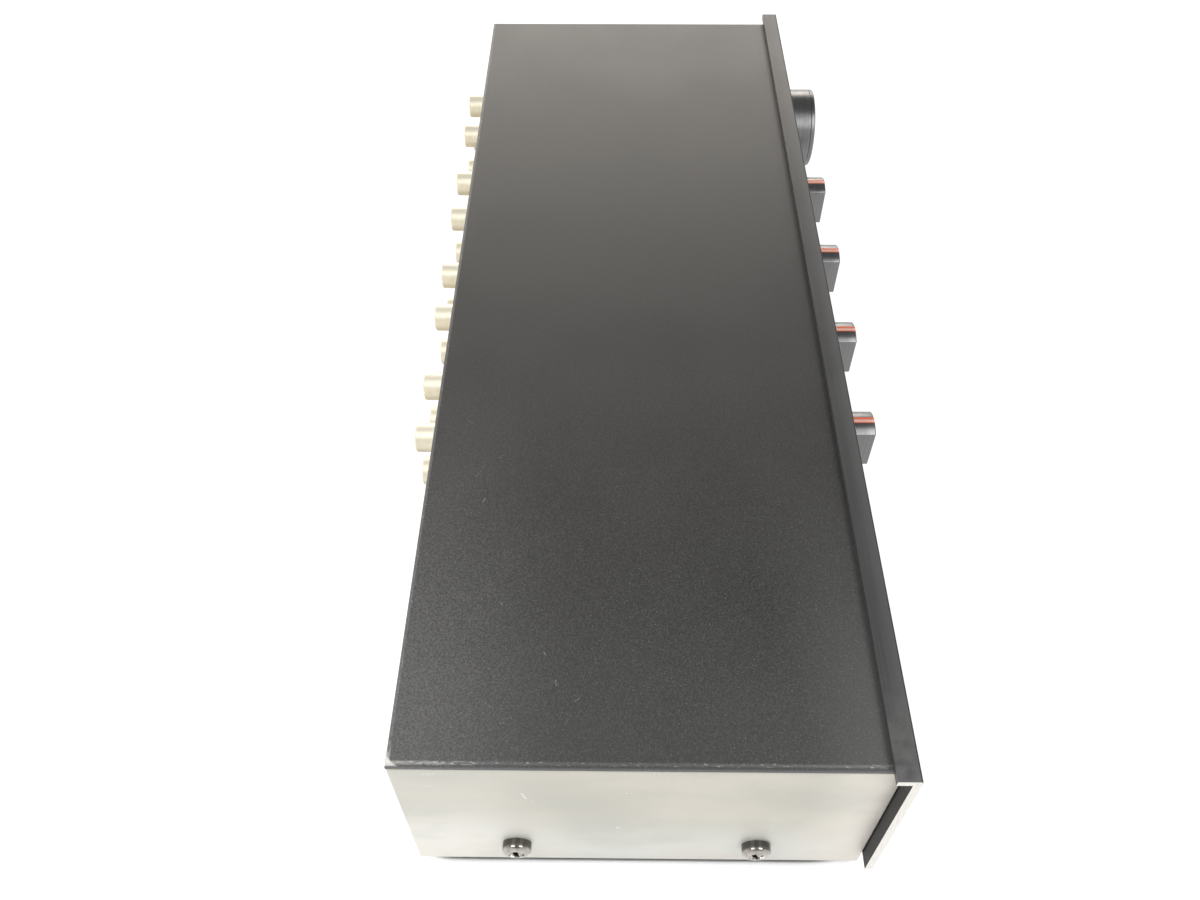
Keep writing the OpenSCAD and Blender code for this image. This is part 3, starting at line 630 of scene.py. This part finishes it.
def make_bar_knob(i):
    """Milled bar knob of one selector and the enamel line inlaid over its crest and down its face."""
    body = f"selector_{i}"
    low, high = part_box(f"{body}_knob")
    line_low, line_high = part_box(f"{body}_pointer")
    face_y = axes[body].y
    gap, reach = face_y - high.y, face_y - low.y
    radius, half = (high.z - low.z) / 2, (high.x - low.x) / 2
    eased = ((KNOB_BACK_EDGE, 0), (0.1 * MM, 0.08 * MM), (0, KNOB_BACK_EDGE))
    back = [(inset, gap + rise) for inset, rise in eased]
    middle = [(0, gap + (reach - KNOB_EDGE - gap) * k / 5) for k in range(1, 5)]
    front = rounded_edge(reach, KNOB_EDGE)
    rings = [
        [(x, y, z) for x, y in bar_outline(radius, half, inset)]
        for inset, z in back + middle + front
    ]
    knob = mesh_piece(f"{body}_milled_knob", *loft(rings), finishes["knob_black"], control_frame(body))
    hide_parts(f"{body}_knob")
    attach(knob, body)

    # The line runs forward along the crest, turns over the rounded edge and goes down the face
    line_half = (line_high.x - line_low.x) / 2 + LINE_SPREAD
    drop = line_high.z - line_low.z
    crest = [(0, gap + KNOB_BACK_EDGE)] + middle + front
    path = [(radius - inset, z, 1 - inset / KNOB_EDGE) for inset, z in crest]
    path += [(radius - KNOB_EDGE - (drop - KNOB_EDGE) * k / 6, reach, 0) for k in range(1, 7)]
    rings = []
    for height, z, bowed in path:
        outward = Vector((0, bowed, 1 - bowed)).normalized()
        top, bottom = [], []
        for k in range(9):
            x = line_half * (k / 4 - 1)
            sag = (radius - math.sqrt(radius ** 2 - x ** 2)) * bowed
            spot = Vector((x, height - sag, z))
            top.append(spot + outward * LINE_PROUD)
            bottom.append(spot - outward * LINE_DEPTH)
        rings.append(bottom + top[::-1])
    line = mesh_piece(f"{body}_enamel_line", *loft(rings), finishes["pointer_red"], control_frame(body))
    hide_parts(f"{body}_pointer")
    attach(line, body)


def lathe(profile, steps):
    """A solid turned about Z from a profile of radius and height, with its round ends filled."""
    rings = []
    for radius, height in profile:
        turns = [2 * math.pi * k / steps for k in range(steps)]
        rings.append([(radius * math.cos(t), radius * math.sin(t), height) for t in turns])
    return loft(rings)


def make_level_knob():
    """Turned round knob: a fine groove behind its rounded rim, a flat ring and a shallow dish."""
    low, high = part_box("level_knob")
    face_y = axes["level"].y
    gap, reach = face_y - high.y, face_y - low.y - MARK_PROUD
    radius = (high.z - low.z) / 2
    groove, dish = reach - GROOVE_BACK, radius - DISH_RING
    profile = [(BACK_RING_R, gap), (radius - BACK_EDGE, gap)]
    profile += [(radius - 0.3 * BACK_EDGE, gap + 0.25 * BACK_EDGE), (radius, gap + BACK_EDGE)]
    profile += [(radius, gap + (groove - gap) * k / 4) for k in range(1, 4)]
    profile += [(radius, groove - GROOVE_HALF), (radius - GROOVE_DEPTH, groove)]
    profile += [(radius, groove + GROOVE_HALF)]
    profile += [(radius - inset, z) for inset, z in rounded_edge(reach, RIM_EDGE)]
    # The dish: an eased lip, a small step and a floor that sinks toward the middle
    profile += [(dish + DISH_LIP, reach), (dish + 0.32 * DISH_LIP, reach - 0.24 * DISH_LIP)]
    profile += [(dish, reach - DISH_LIP)]
    for k in range(1, 9):
        share = 1 - k / 9
        profile.append((dish * share, reach - DISH_DEPTH - DISH_SINK * (1 - share ** 2)))
    place = control_frame("level")
    knob = mesh_piece("level_turned_knob", *lathe(profile, 128), finishes["knob_black"], place)
    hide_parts("level_knob")
    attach(knob, "level")

    mark_r = (dish + radius) / 2
    sunk, top = reach - MARK_DEPTH, reach + MARK_PROUD
    rings = []
    for k in range(13):
        t = math.pi * k / 12
        y = mark_r - MARK_HALF_L * math.cos(t)
        w = max(MARK_HALF_W * min(1, math.sin(t) * MARK_HALF_L / MARK_HALF_W), 0.02 * MM)
        rings.append([(-w, y, top), (w, y, top), (w, y, sunk), (-w, y, sunk)])
    mark = mesh_piece("level_enamel_mark", *loft(rings), finishes["pointer_red"], place)
    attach(mark, "level")


def cross_recess(x, y, reach, width):
    """0 outside a cross-shaped driver recess, 1 in its deepest part; its walls lean in."""
    depth = 0
    for along, across in ((x, y), (y, x)):
        wing = (reach - abs(along)) / (0.35 * reach)
        wall = (width - abs(across)) / (0.3 * width)
        depth = max(depth, min(wing, wall, 1))
    return depth


def screw_head(radius, height, recess, turn):
    """Pan head on Z with its seat at zero: a straight skirt, a domed top and a cross recess."""
    skirt, crown, shoulder = 0.5 * height, 0.12 * height, 0.4 * radius
    wing_reach, wing_width = 0.55 * radius, 0.17 * radius
    steps, crown_rings = 96, 22
    profile = [(radius * 0.9, -0.2 * MM), (radius, 0), (radius, skirt * 0.5), (radius, skirt)]
    for k in range(1, 9):
        t = math.pi / 2 * k / 8
        rise = (height - crown - skirt) * math.sin(t)
        profile.append((radius - shoulder * (1 - math.cos(t)), skirt + rise))
    inner = profile[-1][0]
    for k in range(1, crown_rings):
        share = 1 - k / crown_rings
        profile.append((inner * share, height - crown * share ** 2))
    rings = []
    for r, z in profile:
        ring = []
        for k in range(steps):
            t = 2 * math.pi * k / steps
            x, y = r * math.cos(t), r * math.sin(t)
            u = x * math.cos(turn) + y * math.sin(turn)
            v = y * math.cos(turn) - x * math.sin(turn)
            sink = cross_recess(u, v, wing_reach, wing_width) if r <= inner else 0
            ring.append((x, y, z - recess * sink))
        rings.append(ring)
    return loft(rings)


def make_side_screws():
    """The four pan-head screws of the sides, each at its own angle."""
    low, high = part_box("side_screws")
    radius = (high.z - low.z) / 2
    height = high.x - side_high.x
    z = (low.z + high.z) / 2
    heads = []
    for (side, end), turn in HEAD_TURNS.items():
        y = high.y - radius if end > 0 else low.y + radius
        x = side_high.x if side > 0 else side_low.x
        out = Matrix(((0, 0, side), (0, 1, 0), (-side, 0, 0))).to_4x4()
        place = Matrix.Translation((x, y, z)) @ out
        vertices, faces = screw_head(radius, height, RECESS_DEPTH, turn)
        heads.append(([place @ Vector(v) for v in vertices], faces))
    screws = mesh_piece("side_screw_heads", *joined(heads), finishes["dark_nickel"])
    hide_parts("side_screws")
    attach(screws, "case")


def make_sleeve():
    """The case's sleeve with a crisper fold along its front edges than its solid has."""
    vertices, faces = welded(nodes["case_sleeve"].data)
    for vertex in vertices:
        across = abs(vertex.x) - (side_high.x - FOLD_R)
        along = side_low.y + FOLD_R - vertex.y
        if across > 0 and along > 0 and math.hypot(across, along) > FOLD_R - 0.1 * MM:
            turn = math.atan2(along, across)
            vertex.x = math.copysign(side_high.x - CRISP_FOLD_R * (1 - math.cos(turn)), vertex.x)
            vertex.y = side_low.y + CRISP_FOLD_R * (1 - math.sin(turn))
    sleeve = mesh_piece("crisp_case_sleeve", vertices, faces, finishes["satin_metal"])
    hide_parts("case_sleeve")
    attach(sleeve, "case")


def tick(centre, out, start, length):
    """A thin printed line that points straight out from a dial's centre."""
    across = Vector((out.z, 0, -out.x)) * TICK_W / 2
    end = start + length
    corners = [(start, -1), (start, 1), (end, 1), (end, -1)]
    outline = [centre + out * reach + across * side for reach, side in corners]
    sunk = Vector((0, INK, 0))
    return loft([[spot + sunk for spot in outline], [spot - sunk for spot in outline]])


def figure(text, centre):
    """A printed number as a thin solid on the panel's face."""
    curve = bpy.data.curves.new("figure", "FONT")
    curve.body = text
    curve.size = FIGURE_H
    curve.extrude = INK
    curve.align_x, curve.align_y = "CENTER", "CENTER"
    holder = bpy.data.objects.new("figure", curve)
    bpy.context.scene.collection.objects.link(holder)
    bpy.context.view_layer.update()
    vertices, faces = welded(holder.to_mesh())
    holder.to_mesh_clear()
    bpy.data.objects.remove(holder)
    bpy.data.curves.remove(curve)
    return [centre + Vector((v.x, -v.z, v.y)) for v in vertices], faces


def make_print():
    """Printed scales: five places round each selector and eleven round the level knob."""
    marks = []
    for body, axis in axes.items():
        round_knob = body == "level"
        count, span = LEVEL_SCALE if round_knob else SELECTOR_SCALE
        low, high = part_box(f"{body}_knob")
        start = (high.z - low.z) / 2 + TICK_GAP
        centre = Vector((axis.x, panel_low.y, axis.z))
        for k in range(count):
            angle = math.radians(-span + 2 * span * k / (count - 1))
            out = Vector((math.sin(angle), 0, math.cos(angle)))
            numbered = not round_knob or k % LEVEL_NUMBER_EVERY == 0
            marks.append(tick(centre, out, start, TICK_LONG if numbered else TICK_SHORT))
            if numbered:
                number = str(k if round_knob else k + 1)
                marks.append(figure(number, centre + out * (start + FIGURE_OUT)))
    printed = mesh_piece("panel_scales", *joined(marks), finishes["white_print"])
    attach(printed, "case")


def floor_material():
    """Pale floor: white to the eye and in reflections, a plain grey diffuser to the light, its glow
    darkened as a painted contact shadow.
    """
    f = Finish("floor_white")
    nodes_of = f.tree.nodes
    # Painted contact shadow: the glow fades where the space above the floor is closed
    open_share = f.node("AmbientOcclusion", {"Distance": CONTACT_REACH}, samples=32).outputs["AO"]
    lit = f.band(open_share, CONTACT_DARK, CONTACT_CLEAR, 0.0, FLOOR_GLOW)
    glow = f.node("Emission", {"Strength": lit})
    shade = f.node("BsdfDiffuse", {"Color": (FLOOR_SHADE,) * 3})
    plain = f.node("BsdfDiffuse", {"Color": (FLOOR_GREY,) * 3})
    shown = f.node("AddShader", {0: glow.outputs[0], 1: shade.outputs[0]})
    both = f.node("MixShader", {0: f.seen(), 1: plain.outputs[0], 2: shown.outputs[0]})
    f.feed(nodes_of["Material Output"].inputs["Surface"], both.outputs[0])
    nodes_of.remove(f.shader)
    return f.material


def make_floor():
    """The pale floor that the case stands on."""
    half = FLOOR_SIDE / 2
    corners = [(-half, -half, 0), (half, -half, 0), (half, half, 0), (-half, half, 0)]
    mesh_piece("floor", corners, [(0, 1, 2, 3)], floor_material())


def make_lamp(name, at, size, radiance, tint):
    """A soft rectangular lamp aimed at the object, of a given brightness whatever its size."""
    lamp = bpy.data.lights.new(name, "AREA")
    lamp.shape = "RECTANGLE"
    lamp.size, lamp.size_y = size
    lamp.energy = radiance * math.pi * size[0] * size[1]
    lamp.color = tint
    holder = bpy.data.objects.new(name, lamp)
    holder.location = at
    aim = -Vector(at).normalized()
    across = RIGHT if abs(aim.x) < 0.7 else -FORWARD
    across = (across - aim * across.dot(aim)).normalized()
    holder.rotation_euler = Matrix((across, -aim.cross(across), -aim)).transposed().to_euler()
    bpy.context.scene.collection.objects.link(holder)


def make_sky():
    """To the eye and in reflections white low down and dimmer overhead, a soft fill for the rest."""
    world = bpy.data.worlds.new("studio")
    world.use_nodes = True
    sky = Nodes(world.node_tree)
    direction = sky.node("TexCoord").outputs["Generated"]
    up = sky.node("SeparateXYZ", {0: direction}).outputs["Z"]
    shown = sky.band(up, SKY_WHITE_TO, SKY_DIM_FROM, 1.0, SKY_DIM)
    level = sky.node("Mix", {0: sky.seen(), 2: SKY_FILL, 3: shown}).outputs[0]
    background = sky.tree.nodes["Background"]
    sky.feed(background.inputs["Color"], WHITE)
    sky.feed(background.inputs["Strength"], level)
    bpy.context.scene.world = world


def make_camera():
    """The photograph's camera: left of the case and above it, looking along its length."""
    ahead, down = math.cos(PITCH), math.sin(PITCH)
    forward = Vector((ahead * math.cos(YAW), -ahead * math.sin(YAW), -down))
    level_right = Vector((-math.sin(YAW), -math.cos(YAW), 0))
    level_up = level_right.cross(forward)
    right = math.cos(ROLL) * level_right + math.sin(ROLL) * level_up
    up = math.cos(ROLL) * level_up - math.sin(ROLL) * level_right
    lens = bpy.data.cameras.new("camera")
    lens.sensor_width = SENSOR_W
    lens.lens = SENSOR_W * FOCAL_PX / FRAME_W
    lens.clip_start = 1 * MM
    camera = bpy.data.objects.new("camera", lens)
    eye = Vector((lid_low.x - EYE_LEFT_OF_LID, lid_high.y - EYE_FROM_REAR, lid_high.z + EYE_ABOVE_LID))
    turn = Matrix((right, up, -forward)).transposed()
    camera.matrix_world = Matrix.Translation(eye) @ turn.to_4x4()
    bpy.context.scene.collection.objects.link(camera)
    bpy.context.scene.camera = camera


for number in range(1, 5):
    make_bar_knob(number)
make_level_knob()
make_side_screws()
make_sleeve()
make_print()
make_floor()
make_sky()
for lamp_name, settings in LAMPS.items():
    make_lamp(lamp_name, **settings)
make_camera()
bpy.context.scene.view_settings.view_transform = "Standard"
